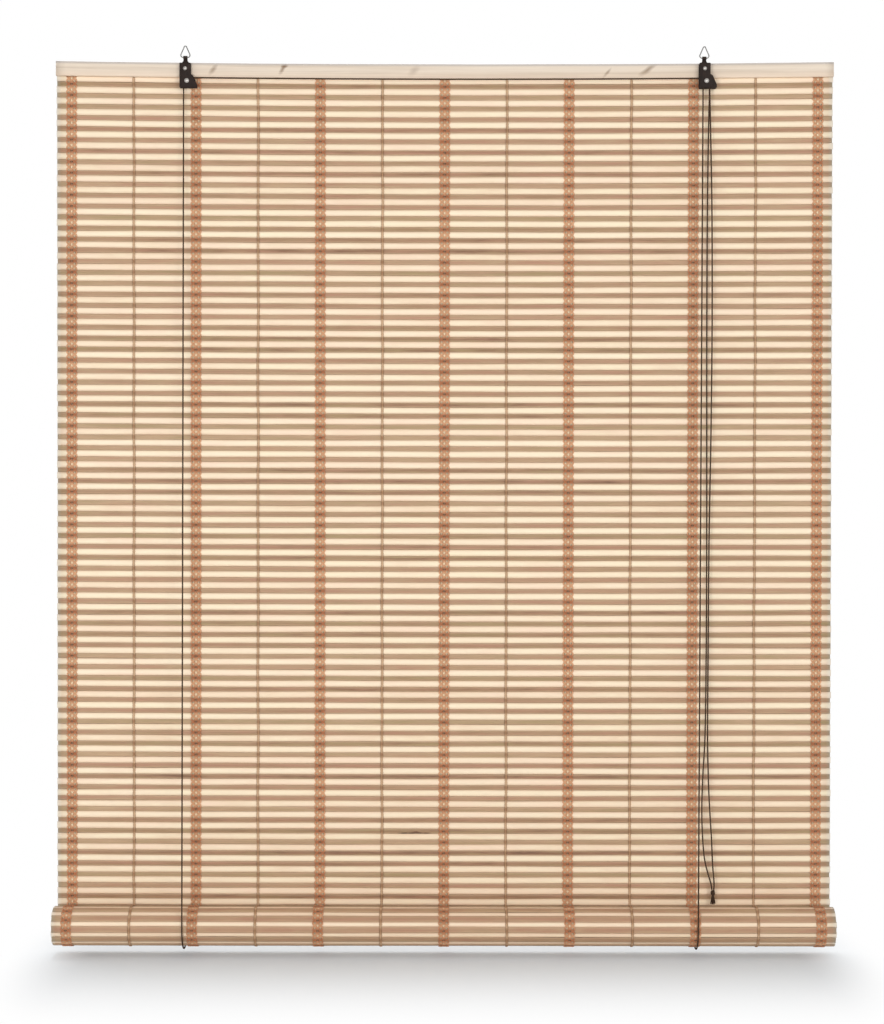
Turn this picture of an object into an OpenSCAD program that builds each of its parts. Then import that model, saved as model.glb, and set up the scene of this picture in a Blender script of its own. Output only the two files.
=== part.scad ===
// Roll-up bamboo blind. A mat of split bamboo slats hangs from a wooden head batten and is
// drawn up from below by two cords, which run over pulleys in two steel brackets.
// Origin: the centre of the batten's back face. +X is the viewer's right, +Y is towards the
// wall and +Z is up.

/* [Head batten] */
// Length of the batten and of every slat
blind_w = 1400; // [1200:10:1800]
// Height of the batten
batten_h = 26; // [24:0.5:34]
// Thickness of the batten, front to back
batten_t = 16; // [15:0.5:24]
// How much higher the batten's ends are than its middle
batten_bow = 5; // [0:0.5:6]
// Depth of the groove along the batten's underside
groove_depth = 12.5; // [12:0.5:14]
// Number of brads that hold the mat in the groove
brad_count = 9; // [5:2:13]
// Diameter of a brad
brad_d = 1.6; // [1.2:0.1:2]

/* [Slat mat] */
// Height of a pale slat on the mat's front
pale_w = 11.7; // [9:0.1:14]
// Height of a dark slat on the mat's front
dark_w = 8.07; // [6:0.01:9]
// Thickness of the mat
slat_t = 3; // [2.4:0.1:3.4]
// How far the narrow faces lie behind the wide ones
slat_relief = 0.6; // [0.2:0.1:1]
// Length of the mat's flat part, which takes whole pairs of slats
flat_drop = 1530; // [1200:10:1800]
// From the batten's back face to the mat's back face
mat_set = 7; // [6.5:0.1:8]

/* [Roll] */
// Radius of the roll at its outer end
roll_r = 38; // [35:0.5:44]
// Pairs of slats in the roll
roll_rows = 35; // [30:1:40]
// Diameter of the rod at the mat's lower end
core_d = 18; // [12:0.5:22]

/* [Warp] */
// From a slat's end to the middle of the outermost braid
braid_inset = 27.5; // [15:0.5:40]
// Width of a wide braid
braid_w = 19; // [14:0.5:24]
// Length of one repeat of a braid's zigzag edge
braid_repeat = 26.4; // [20:0.1:40]
// Width of a thin thread
thread_w = 4; // [2:0.1:6]
// Thickness of the braids and threads
warp_t = 0.9; // [0.6:0.1:1.1]

/* [Brackets] */
// From a slat's end to a bracket's middle
bracket_inset = 233.5; // [180:0.5:280]
// Width of a bracket's upper part
plate_w = 20; // [18:0.5:24]
// Thickness of the bracket's steel
plate_t = 1.5; // [1:0.1:2]
// Height of the bracket's shoulders above the batten's middle
plate_top = 13.5; // [12:0.5:18]
// Depth of the bracket's lower edge below the batten's middle
plate_drop = 31; // [29:0.5:36]
// How far the lower corner flares out
flare = 11.2; // [10:0.1:14]
// Diameter of the screw in the batten
screw_d = 3.5; // [3:0.1:4]
// Diameter of the pulley's axle
axle_d = 3; // [2.5:0.1:3.5]
// Radius of a pulley over its rims
pulley_r = 7.5; // [7:0.1:8]
// Width of a pulley
pulley_w = 5; // [4.5:0.1:6]

/* [Hanger rings] */
// Diameter of the ring's wire
wire_d = 2; // [1.6:0.1:2.4]
// Height of the ring between wire centres
ring_h = 20.5; // [18:0.5:26]
// Width of the eye that holds the ring
eye_w = 7.5; // [6:0.5:9]

/* [Cords] */
// Diameter of the cord
cord_d = 3; // [2:0.1:3]
// How far the crossing cord sags
cross_sag = 2.3; // [0:0.1:4]

/* [Hidden] */
$fn = 48;
touch_gap = 0.3;
run_gap = 0.05;

// Batten and mat
function bow(x) = batten_bow * pow(2 * x / blind_w, 2);
batten_steps = 28;
groove_gap = 0.2;
mat_back = -mat_set;
mat_front = mat_back - slat_t;
mat_seat = 11.25;
mat_top = mat_seat - batten_h / 2;
brad_drop = 3;
brad_margin = 60;
brad_bite = 3.5;
brad_length = mat_set + slat_t + brad_bite;

// Slats. Their edges slope, so the wide and narrow faces change places behind.
slat_step = (pale_w + dark_w) / 2;
seam_lean = (pale_w - dark_w) / 4;
seam_cut = 0.4;
flat_slats = 2 * round((flat_drop / slat_step - 1) / 2) + 1;
function is_dark(i) = i % 2 == 0;
function lean(i) = is_dark(i) ? -seam_lean : seam_lean;
function flat_lean(i) = i == 0 || i == flat_slats ? 0 : lean(i);
function seam_z(i, side) = mat_top - i * slat_step + side * flat_lean(i);

// Roll. Angles run from the back of the roll down and round to its front.
roll_y = mat_back - roll_r;
roll_z = mat_top - flat_slats * slat_step - touch_gap;
// Slats are a step apart on the outside. The last one lies on the rod, and the turns are
// spaced to take up the rest.
coil_slats = 2 * roll_rows + 1;
core_seat_r = (core_d / 2 + touch_gap) / cos(arc_deg(slat_step / 2, core_d / 2 + slat_t));
coil_end_r = core_seat_r + slat_t;
coil_pitch = PI * (pow(roll_r, 2) - pow(coil_end_r, 2)) / (coil_slats * slat_step);
function arc_deg(length, r) = length / r * 180 / PI;
function coil_r(a) = roll_r - coil_pitch * a / 360;
function coil_slat_r(i) = sqrt(pow(roll_r, 2) - coil_pitch * i * slat_step / PI);
function coil_slat_a(i) = 360 * (roll_r - coil_slat_r(i)) / coil_pitch;
function coil_lean(i) = i == 0 || i == coil_slats ? 0 : lean(flat_slats + i);
function coil_seam(i, side) = coil_slat_a(i) - side * arc_deg(coil_lean(i), coil_r(coil_slat_a(i)));
function coil_point(a, inset) =
    let (r = coil_r(a) - inset) [roll_y + r * cos(a), roll_z - r * sin(a)];

// Warp
braid_count = 7;
thread_count = braid_count - 1;
braid_spacing = (blind_w - 2 * braid_inset) / thread_count;
braid_tooth = 2.6;
braid_tip = 1;
warp_end = 8;
warp_start_a = 4;
warp_stop_a = 330;
warp_step_a = 9;
function braid_x(i) = (i - (braid_count + 1) / 2) * braid_spacing;
function thread_x(i) = braid_x(i) + braid_spacing / 2;
function warp_top(x) = bow(x) - batten_h / 2 - touch_gap;

// Brackets, in layers from the batten's front face forwards
bracket_x = blind_w / 2 - bracket_inset;
sheave_side = 0.7;
sheave_between = 0.6;
plate_back = -batten_t;
cheek_back = plate_back - plate_t;
rear_sheave_y = cheek_back - sheave_side - pulley_w / 2;
front_sheave_y = rear_sheave_y - pulley_w - sheave_between;
single_gap = pulley_w + 2 * sheave_side;
double_gap = single_gap + pulley_w + sheave_between;
flare_start = 6.5;
flare_step = 3.6;
flare_slope = 2;
foot_h = 5.5;
corner_r = 1.2;
neck_foot = 16;
neck_h = 5;
screw_z = 3.5;
screw_bite = 5.5;
screw_gap = 0.1;
screw_head_r = 3.6;
screw_head_h = 1.8;
spacer_d = 8;
axle_dx = 3;
axle_z = -18.5;
axle_head_r = 4.2;
axle_head_h = 1.7;
axle_tail_r = 2.6;
axle_tail_h = 0.9;

// Cord lock in the right bracket
pawl_dx = 13.5;
pawl_z = -26.5;
pawl_hub_r = 2.6;
pawl_base = 1.9;
pawl_pin_d = 2.2;
pawl_side = 0.5;
pawl_teeth = 3;
pawl_tooth_h = 1.5;
pawl_tooth_d = 0.6;
pin_head_r = 1.9;
pin_head_h = 0.7;

// Hanger rings
eye_wall = 1.5;
eye_bore_d = wire_d + 2 * touch_gap;
eye_r = eye_bore_d / 2 + eye_wall;
eye_y = plate_back - eye_r;
eye_z = plate_top + 10.5;
ring_corner_r = 4;
ring_tip_r = 2;
ring_bar = eye_w + 3 * touch_gap;
bend_lap = 0.2;
bend_fit = 0.04;

// Cords
cord_turn_r = 6;
groove_r = cord_d / 2 + touch_gap;
loop_out = 3;
loop_r = roll_r + loop_out;
cord_hole_gap = 0.1;
cord_hole_z = -3;
left_loop_in = 1.5;
right_loop_in = 14.5;
left_loop_x = left_loop_in - bracket_x;
right_loop_x = bracket_x - right_loop_in;
left_axle_x = axle_dx - bracket_x;
right_axle_x = axle_dx + bracket_x;
pull_x = right_axle_x + cord_turn_r;
cross_steps = 16;
arc_steps = 6;
knot_at = [10, -24, -1479];
knot_r = 5.5;
knot_h = 9;
tail_lap = 1;
tail_h = 13;
tail_r = 3.4;
tail_neck_r = 1.8;

// Route of each pull cord below its pulley. X is counted from the pulley's side, where the cord leaves it.
pull_left_route = [
    [0, rear_sheave_y, axle_z - touch_gap], [0, rear_sheave_y, -40], [-1.5, -21, -120], [-3, -21, -250],
    [-3.5, -21, -450], [-3, -21, -650], [-2.5, -21.5, -850], [-3, -22, -1050],
    [-4.5, -22, -1190], [-8.5, -22, -1270], [-10, -22, -1325], [-9, -22, -1370],
    [-5.5, -22.5, -1415], [1, -23, -1444], [6.5, -23, -1462], [8.5, -22.5, -1474]
];
pull_right_route = [
    [0, front_sheave_y, axle_z - touch_gap], [0, front_sheave_y, -40], [2, -26, -120], [4.5, -26, -250],
    [5.5, -26, -450], [4, -26, -650], [1, -26, -850], [0, -25.5, -1050],
    [-0.5, -25.5, -1190], [1, -25.5, -1270], [3.5, -25.5, -1325], [7, -25.5, -1380],
    [9, -25.5, -1425], [11, -25.5, -1448], [12, -25.5, -1462], [11.5, -25.5, -1474]
];

pine = "#e9d8c3";
bamboo = "#e3c79d";
thread_brown = "#b07a50";
steel_black = "#35302d";
bright_steel = "#c4c4c2";
cord_brown = "#3a2a22";

warp_nodes = concat(
    [for (i = [1:braid_count]) str("mat_braid_", i)],
    [for (i = [1:thread_count]) str("mat_thread_", i)],
    [for (i = [1:braid_count]) str("roll_braid_", i)],
    [for (i = [1:thread_count]) str("roll_thread_", i)]
);

// Shared shapes

// A drawing in the Y-Z plane, extruded along X about the middle
module along_x(length) rotate([90, 0, 90]) linear_extrude(length, center = true) children();

// A drawing in the X-Z plane, extruded towards the front from depth y
module from_depth(y, t) translate([0, y, 0]) rotate([90, 0, 0]) linear_extrude(t) children();

// A round bar along Y, from depth y towards the front
module bar_y(y, length, d) translate([0, y, 0]) rotate([90, 0, 0]) cylinder(h = length, d = d);

// A low dome that faces the front, with its flat side at depth y
module dome_y(y, r, h) {
    ball_r = (r * r + h * h) / (2 * h);
    translate([0, y, 0]) rotate([90, 0, 0]) intersection() {
        translate([0, 0, h - ball_r]) sphere(ball_r, $fn = 96);
        cylinder(h = h, r = r);
    }
}

// A straight round rod between two points
module rod(a, b, d) {
    run = b - a;
    translate(a) rotate([0, acos(run.z / norm(run)), atan2(run.y, run.x)]) cylinder(h = norm(run), d = d);
}

// Part of a ring of round wire in the X-Z plane, between two angles from +X
module wire_arc(r, a, b, d) rotate([90, 0, 0]) rotate([0, 0, a]) rotate_extrude(angle = b - a)
    translate([r, 0]) circle(d = d);

// A tube of eight sides along a path
function unit(v) = v / norm(v);
function heading(path, i) = unit(path[min(i + 1, len(path) - 1)] - path[max(i - 1, 0)]);
module tube(path, d) {
    sides = 8;
    across = [for (i = [0:len(path) - 1]) unit(cross(heading(path, i), [0, 1, 0]))];
    points = [
        for (i = [0:len(path) - 1]) for (k = [0:sides - 1])
            path[i] + d / 2 * (cos(k * 360 / sides) * across[i]
                + sin(k * 360 / sides) * cross(heading(path, i), across[i]))
    ];
    last = sides * (len(path) - 1);
    walls = [
        for (i = [0:sides:last - sides]) for (k = [0:sides - 1]) let (n = (k + 1) % sides)
            [i + sides + k, i + sides + n, i + n, i + k]
    ];
    caps = [[for (k = [0:sides - 1]) k], [for (k = [sides - 1:-1:0]) last + k]];
    polyhedron(points, concat(walls, caps));
}

// A smooth curve through a route's points
function curve_at(p, i, t) = let (
        a = p[max(i - 1, 0)], b = p[i], c = p[i + 1], e = p[min(i + 2, len(p) - 1)])
    0.5 * (2 * b + (c - a) * t + (2 * a - 5 * b + 4 * c - e) * pow(t, 2) + (3 * b - a - 3 * c + e) * pow(t, 3));
curve_steps = 2.5;
function smooth(p) = let (count = round((len(p) - 1) * curve_steps)) [
    for (k = [0:count]) let (s = k / count * (len(p) - 1), i = min(floor(s), len(p) - 2)) curve_at(p, i, s - i)
];

// Batten and mat

module batten_outline(low, high) polygon(concat(
    [for (k = [0:batten_steps]) let (x = (k / batten_steps - 0.5) * blind_w) [x, low + bow(x)]],
    [for (k = [batten_steps:-1:0]) let (x = (k / batten_steps - 0.5) * blind_w) [x, high + bow(x)]]
));

module brad_places() for (k = [0:brad_count - 1])
    translate([(k / (brad_count - 1) - 0.5) * (blind_w - 2 * brad_margin), 0, mat_top - brad_drop]) children();

module head_batten() color(pine) difference() {
    from_depth(0, batten_t) batten_outline(-batten_h / 2, batten_h / 2);
    from_depth(mat_back + groove_gap, slat_t + 2 * groove_gap)
        batten_outline(-batten_h, groove_depth - batten_h / 2);
    brad_places() bar_y(0, brad_length, brad_d);
    for (s = [-1, 1]) translate([s * bracket_x, 0, screw_z]) bar_y(plate_back + screw_bite, batten_t, screw_d);
    for (x = [left_loop_x, right_loop_x]) translate([x, mat_back + loop_out, -batten_h])
        cylinder(h = batten_h + cord_hole_z, d = cord_d + 2 * cord_hole_gap);
}

module mat_brads() color(bright_steel) brad_places() bar_y(0, brad_length, brad_d);

module slat_mat() color(bamboo) difference() {
    along_x(blind_w) polygon(concat(
        [for (i = [0:flat_slats - 1]) let (y = mat_front + (is_dark(i) ? slat_relief : 0))
            each [[y, seam_z(i, 1) - seam_cut], [y, seam_z(i + 1, 1) + seam_cut]]],
        [for (i = [flat_slats - 1:-1:0]) let (y = mat_back - (is_dark(i) ? 0 : slat_relief))
            each [[y, seam_z(i + 1, -1) + seam_cut], [y, seam_z(i, -1) - seam_cut]]]
    ));
    brad_places() bar_y(0, brad_length, brad_d);
}

// Roll

module rolled_mat() color(bamboo) along_x(blind_w) polygon(concat(
    [for (i = [0:coil_slats - 1])
        let (inset = is_dark(flat_slats + i) ? 0 : slat_relief, cut = arc_deg(seam_cut, roll_r))
        each [coil_point(coil_seam(i, -1) + cut, inset), coil_point(coil_seam(i + 1, -1) - cut, inset)]],
    [for (i = [coil_slats - 1:-1:0])
        let (inset = slat_t - (is_dark(flat_slats + i) ? slat_relief : 0), cut = arc_deg(seam_cut, roll_r))
        each [coil_point(coil_seam(i + 1, 1) - cut, inset), coil_point(coil_seam(i, 1) + cut, inset)]]
));

module bottom_rod() color(pine) translate([-blind_w / 2, roll_y, roll_z]) rotate([0, 90, 0])
    cylinder(h = blind_w, d = core_d);

// Warp

module mat_braid(i) color(thread_brown) translate([braid_x(i), 0, 0]) {
    top = warp_top(braid_x(i));
    steps = floor((top - roll_z - warp_end) / (braid_repeat / 2));
    half = [for (k = [0:steps])
        [k == 0 ? braid_tip : braid_w / 2 - (k % 2 == 0 ? braid_tooth : 0), top - k * braid_repeat / 2]];
    from_depth(mat_front - touch_gap, warp_t)
        polygon(concat(half, [for (k = [steps:-1:0]) [-half[k].x, half[k].y]]));
    from_depth(mat_back + touch_gap + warp_t, warp_t)
        translate([-braid_w / 2, roll_z + warp_end]) square([braid_w, top - roll_z - warp_end]);
}

module mat_thread(i) color(thread_brown) translate([thread_x(i), 0, 0]) {
    top = warp_top(thread_x(i));
    for (y = [mat_front - touch_gap, mat_back + touch_gap + warp_t]) from_depth(y, warp_t)
        translate([-thread_w / 2, roll_z + warp_end]) square([thread_w, top - roll_z - warp_end]);
}

// A band of the warp round the outside of the roll's last turn
module roll_band(x, w) translate([x, 0, 0]) along_x(w) polygon(concat(
    [for (a = [warp_start_a:warp_step_a:warp_stop_a]) coil_point(a, -touch_gap - warp_t)],
    [for (a = [warp_stop_a - (warp_stop_a - warp_start_a) % warp_step_a:-warp_step_a:warp_start_a])
        coil_point(a, -touch_gap)]
));

module roll_braid(i) color(thread_brown) roll_band(braid_x(i), braid_w);

module roll_thread(i) color(thread_brown) roll_band(thread_x(i), thread_w);

// Brackets

// A plate with eased corners, whose lower part flares out over the pulleys
module plate_outline() offset(r = corner_r, $fn = 24) offset(delta = -corner_r) polygon([
    [-plate_w / 2, -plate_drop], [plate_w / 2 + flare, -plate_drop],
    [plate_w / 2 + flare, foot_h - plate_drop], [plate_w / 2 + flare_step, -flare_start - flare_slope],
    [plate_w / 2, -flare_start], [plate_w / 2, plate_top], [-plate_w / 2, plate_top]
]);

module plate_holes(lock) {
    translate([0, screw_z]) circle(d = screw_d + 2 * screw_gap);
    translate([axle_dx, axle_z]) circle(d = axle_d);
    if (lock) translate([pawl_dx, pawl_z]) circle(d = pawl_pin_d);
}

module back_plate(lock) color(steel_black) difference() {
    union() {
        from_depth(plate_back, plate_t) difference() {
            union() {
                plate_outline();
                polygon([[-neck_foot / 2, plate_top - corner_r], [neck_foot / 2, plate_top - corner_r],
                    [eye_w / 2, plate_top + neck_h], [eye_w / 2, eye_z], [-eye_w / 2, eye_z],
                    [-eye_w / 2, plate_top + neck_h]]);
            }
            plate_holes(lock);
        }
        translate([-eye_w / 2, eye_y, eye_z]) rotate([0, 90, 0]) cylinder(h = eye_w, r = eye_r);
    }
    translate([-eye_w, eye_y, eye_z]) rotate([0, 90, 0]) cylinder(h = 2 * eye_w, d = eye_bore_d);
}

module front_plate(gap, lock) color(steel_black) from_depth(cheek_back - gap, plate_t) difference() {
    plate_outline();
    plate_holes(lock);
}

module spacer(gap) color(steel_black) translate([0, 0, screw_z]) difference() {
    bar_y(cheek_back, gap, spacer_d);
    bar_y(cheek_back + plate_t, gap + 2 * plate_t, screw_d + 2 * screw_gap);
}

module screw(gap) color(bright_steel) translate([0, 0, screw_z]) {
    bar_y(plate_back + screw_bite, screw_bite + gap + 2 * plate_t, screw_d);
    dome_y(cheek_back - gap - plate_t, screw_head_r, screw_head_h);
}

module axle(gap) color(bright_steel) translate([axle_dx, 0, axle_z]) {
    bar_y(plate_back + axle_tail_h, axle_tail_h, 2 * axle_tail_r);
    bar_y(plate_back, gap + 2 * plate_t, axle_d);
    dome_y(cheek_back - gap - plate_t, axle_head_r, axle_head_h);
}

module pulley(y) color(steel_black) translate([axle_dx, y, axle_z]) rotate([90, 0, 0]) rotate_extrude()
    difference() {
        bore_r = axle_d / 2 + run_gap;
        translate([bore_r, -pulley_w / 2]) square([pulley_r - bore_r, pulley_w]);
        translate([cord_turn_r, 0]) circle(groove_r);
        polygon([[cord_turn_r, -groove_r], [pulley_r + run_gap, -pulley_w / 2 + sheave_side],
            [pulley_r + run_gap, pulley_w / 2 - sheave_side], [cord_turn_r, groove_r]]);
    }

// The toothed nose of the pawl lies against the pull cords
module lock_pawl() color(steel_black) translate([bracket_x + pawl_dx, 0, pawl_z]) difference() {
    nose = axle_dx + cord_turn_r + cord_d / 2 + touch_gap - pawl_dx;
    width = double_gap - 2 * pawl_side;
    union() {
        bar_y(cheek_back - pawl_side, width, 2 * pawl_hub_r);
        from_depth(cheek_back - pawl_side, width) polygon(concat(
            [[pawl_base, -pawl_base / 2], [-pawl_base, -pawl_base / 2]],
            [for (k = [0:2 * pawl_teeth - 1])
                [nose + (k % 2 == 0 ? 0 : pawl_tooth_d), pawl_tooth_h * (1 + k / 2)]],
            [[0, pawl_tooth_h * (1 + pawl_teeth)]]
        ));
    }
    bar_y(cheek_back, double_gap, pawl_pin_d + 2 * run_gap);
}

module pawl_pin() color(bright_steel) translate([bracket_x + pawl_dx, 0, pawl_z]) {
    bar_y(plate_back, double_gap + 2 * plate_t, pawl_pin_d);
    dome_y(cheek_back - double_gap - plate_t, pin_head_r, pin_head_h);
}

// A straight stretch of wire whose ends lie just inside the bends
module wire_run(a, b) {
    lap = bend_lap * unit(b - a);
    rod(a - lap, b + lap, wire_d - bend_fit);
}

// A pear-shaped wire ring that stands on its bar in the eye
module wire_ring() color(bright_steel) translate([0, eye_y, eye_z]) {
    corner = [ring_bar / 2, ring_corner_r];
    tip = [0, ring_h - ring_tip_r];
    slope = atan2(corner.y - tip.y, corner.x) + acos((ring_tip_r - ring_corner_r) / norm(corner - tip));
    out = [cos(slope), sin(slope)];
    wire_run([-ring_bar / 2, 0, 0], [ring_bar / 2, 0, 0]);
    for (s = [0, 1]) mirror([s, 0, 0]) {
        translate([corner.x, 0, corner.y]) wire_arc(ring_corner_r, -90, slope, wire_d);
        low = corner + ring_corner_r * out;
        high = tip + ring_tip_r * out;
        wire_run([low.x, 0, low.y], [high.x, 0, high.y]);
    }
    translate([tip.x, 0, tip.y]) wire_arc(ring_tip_r, slope, 180 - slope, wire_d);
}

// Cords

module cord_loop(x) color(cord_brown) translate([x, roll_y, roll_z]) rotate([0, 0, 90])
    wire_arc(loop_r, 180, 360, cord_d);

module cord_back(x) color(cord_brown) translate([x, roll_y + loop_r, roll_z + touch_gap])
    cylinder(h = cord_hole_z - roll_z - 2 * touch_gap, d = cord_d);

module cord_front(axle_x, y, x) color(cord_brown)
    rod([x, roll_y - loop_r, roll_z + touch_gap], [axle_x - cord_turn_r, y, axle_z - touch_gap], cord_d);

function turn(x, y, a) = [x + cord_turn_r * cos(a), y, axle_z + cord_turn_r * sin(a)];
cross_route = concat(
    [for (k = [0:arc_steps - 1]) turn(left_axle_x, rear_sheave_y, 180 - 90 * k / arc_steps)],
    [for (k = [0:cross_steps]) let (t = k / cross_steps)
        [left_axle_x + t * (right_axle_x - left_axle_x), rear_sheave_y,
         axle_z + cord_turn_r - 4 * cross_sag * t * (1 - t)]],
    [for (k = [1:arc_steps]) turn(right_axle_x, rear_sheave_y, 90 - 90 * k / arc_steps)]
);
module cross_cord() color(cord_brown) tube(cross_route, cord_d);

module right_cord_turn() color(cord_brown) translate([right_axle_x, front_sheave_y, axle_z])
    wire_arc(cord_turn_r, 0, 180, cord_d);

module pull_cord(route) color(cord_brown) translate([pull_x, 0, 0]) tube(smooth(route), cord_d);

// A ball with flat ends, and below it the flared ends of the cords
module pull_knot() color(cord_brown) translate([pull_x, 0, 0] + knot_at) {
    intersection() {
        sphere(knot_r);
        translate([0, 0, -knot_h / 2]) cylinder(h = knot_h, r = knot_r);
    }
    translate([0, 0, -knot_h / 2 - tail_h + tail_lap]) cylinder(h = tail_h, r1 = tail_r, r2 = tail_neck_r);
}

module at_left() translate([-bracket_x, 0, 0]) children();
module at_right() translate([bracket_x, 0, 0]) children();

head_batten();
mat_brads();
slat_mat();
rolled_mat();
bottom_rod();
for (i = [1:braid_count]) mat_braid(i);
for (i = [1:thread_count]) mat_thread(i);
for (i = [1:braid_count]) roll_braid(i);
for (i = [1:thread_count]) roll_thread(i);
at_left() back_plate(false);  // left_back_plate
at_left() front_plate(single_gap, false);  // left_front_plate
at_left() spacer(single_gap);  // left_spacer
at_left() screw(single_gap);  // left_screw
at_left() axle(single_gap);  // left_axle
at_left() pulley(rear_sheave_y);  // left_pulley
at_left() wire_ring();  // left_ring
at_right() back_plate(true);  // right_back_plate
at_right() front_plate(double_gap, true);  // right_front_plate
at_right() spacer(double_gap);  // right_spacer
at_right() screw(double_gap);  // right_screw
at_right() axle(double_gap);  // right_axle
at_right() pulley(rear_sheave_y);  // right_rear_pulley
at_right() pulley(front_sheave_y);  // right_front_pulley
lock_pawl();
pawl_pin();
at_right() wire_ring();  // right_ring
cord_back(left_loop_x);  // left_cord_back
cord_loop(left_loop_x);  // left_cord_loop
cord_front(left_axle_x, rear_sheave_y, left_loop_x);  // left_cord_front
cross_cord();
cord_back(right_loop_x);  // right_cord_back
cord_loop(right_loop_x);  // right_cord_loop
cord_front(right_axle_x, front_sheave_y, right_loop_x);  // right_cord_front
right_cord_turn();
pull_cord(pull_left_route);  // pull_cord_left
pull_cord(pull_right_route);  // pull_cord_right
pull_knot();
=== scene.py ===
"""Roll-up bamboo blind: its looks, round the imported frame.

Lengths are in metres, in the frame of part.scad: +X is the viewer's right, +Y is towards the wall,
+Z is up, and the origin is the centre of the batten's back face.
"""
import math

import bpy
import numpy as np
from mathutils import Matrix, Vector


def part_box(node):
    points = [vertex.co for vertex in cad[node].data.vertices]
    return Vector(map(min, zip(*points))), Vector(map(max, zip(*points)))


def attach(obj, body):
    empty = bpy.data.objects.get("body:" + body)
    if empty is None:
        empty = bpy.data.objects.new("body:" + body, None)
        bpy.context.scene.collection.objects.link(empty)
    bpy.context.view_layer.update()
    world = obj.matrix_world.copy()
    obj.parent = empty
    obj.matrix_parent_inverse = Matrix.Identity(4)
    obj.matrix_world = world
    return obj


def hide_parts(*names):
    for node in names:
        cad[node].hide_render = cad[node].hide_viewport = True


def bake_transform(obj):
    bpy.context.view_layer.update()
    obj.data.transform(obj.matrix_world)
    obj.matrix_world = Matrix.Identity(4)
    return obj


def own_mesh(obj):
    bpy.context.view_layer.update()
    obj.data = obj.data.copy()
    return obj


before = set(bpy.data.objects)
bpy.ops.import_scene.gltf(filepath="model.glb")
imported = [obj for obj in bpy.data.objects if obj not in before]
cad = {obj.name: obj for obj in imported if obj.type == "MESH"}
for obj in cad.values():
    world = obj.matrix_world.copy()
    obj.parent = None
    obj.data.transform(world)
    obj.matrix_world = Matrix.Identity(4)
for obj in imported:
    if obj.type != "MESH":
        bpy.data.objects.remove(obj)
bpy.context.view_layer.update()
MM = 0.001
rng = np.random.default_rng(7)

# Sizes that the frame gives
mat_low, mat_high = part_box("slat_mat")
rod_low, rod_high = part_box("bottom_rod")
HALF_W = mat_high.x
MAT_FRONT, MAT_BACK = mat_low.y, mat_high.y
ROLL_Y = (rod_low.y + rod_high.y) / 2
ROLL_Z = (rod_low.z + rod_high.z) / 2
ROLL_R = MAT_BACK - ROLL_Y
ROD_R = (rod_high.z - rod_low.z) / 2


def middle(node):
    low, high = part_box(node)
    return (low + high) / 2


BRAID_X = [middle(f"mat_braid_{i + 1}").x for i in range(7)]
THREAD_X = [middle(f"mat_thread_{i + 1}").x for i in range(6)]
LEFT_LOOP_X, RIGHT_LOOP_X = middle("left_cord_loop").x, middle("right_cord_loop").x
LEFT_AXLE_X, RIGHT_AXLE_X = middle("left_pulley").x, middle("right_rear_pulley").x
AXLE_Z = middle("left_pulley").z
REAR_SHEAVE_Y, FRONT_SHEAVE_Y = middle("right_rear_pulley").y, middle("right_front_pulley").y
loop_low, loop_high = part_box("left_cord_loop")
CORD_D = loop_high.x - loop_low.x
LOOP_R = ROLL_Z - loop_low.z - CORD_D / 2

# Sizes that part.scad gives
BATTEN_H = 26 * MM
BATTEN_T = 16 * MM
BATTEN_BOW = 5 * MM
GROOVE = (-6.8 * MM, -10.2 * MM)
GROOVE_DEPTH = 12.5 * MM
PALE_W = 11.7 * MM
DARK_W = 8.07 * MM
SLAT_T = 3 * MM
SLAT_RELIEF = 0.6 * MM
SLAT_STEP = (PALE_W + DARK_W) / 2
MAT_TOP = -1.75 * MM
FLAT_SLATS = 155
COIL_SLATS = 71
WARP_OFF = 0.3 * MM
WARP_T = 0.9 * MM
WARP_END = ROLL_Z + 8 * MM
CORD_TURN_R = 6 * MM
CROSS_SAG = 2.3 * MM
TOUCH = 0.3 * MM
PULL_X = RIGHT_AXLE_X + CORD_TURN_R
KNOT_AT = Vector((PULL_X + 10 * MM, -24 * MM, -1479 * MM))

# Routes of the pull cords, as in part.scad: millimetres, with X counted from the pulley's side
PULL_LEFT_ROUTE = [
    (0, -20.7, -18.8), (0, -20.7, -40), (-1.5, -21, -120), (-3, -21, -250),
    (-3.5, -21, -450), (-3, -21, -650), (-2.5, -21.5, -850), (-3, -22, -1050),
    (-4.5, -22, -1190), (-8.5, -22, -1270), (-10, -22, -1325), (-9, -22, -1370),
    (-5.5, -22.5, -1415), (1, -23, -1444), (6.5, -23, -1462), (8.5, -22.5, -1474),
]
PULL_RIGHT_ROUTE = [
    (0, -26.3, -18.8), (0, -26.3, -40), (2, -26, -120), (4.5, -26, -250),
    (5.5, -26, -450), (4, -26, -650), (1, -26, -850), (0, -25.5, -1050),
    (-0.5, -25.5, -1190), (1, -25.5, -1270), (3.5, -25.5, -1325), (7, -25.5, -1380),
    (9, -25.5, -1425), (11, -25.5, -1448), (12, -25.5, -1462), (11.5, -25.5, -1474),
]

# As the roll rises, the mat above this height stays and the rest of it runs into the roll.
TOP_SLATS = 9
FOLD_Z = MAT_TOP - TOP_SLATS * SLAT_STEP


def shorten(obj):
    """Gives a piece that grows shorter as the roll rises a mesh of its own."""
    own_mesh(obj)


# Mesh building


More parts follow.
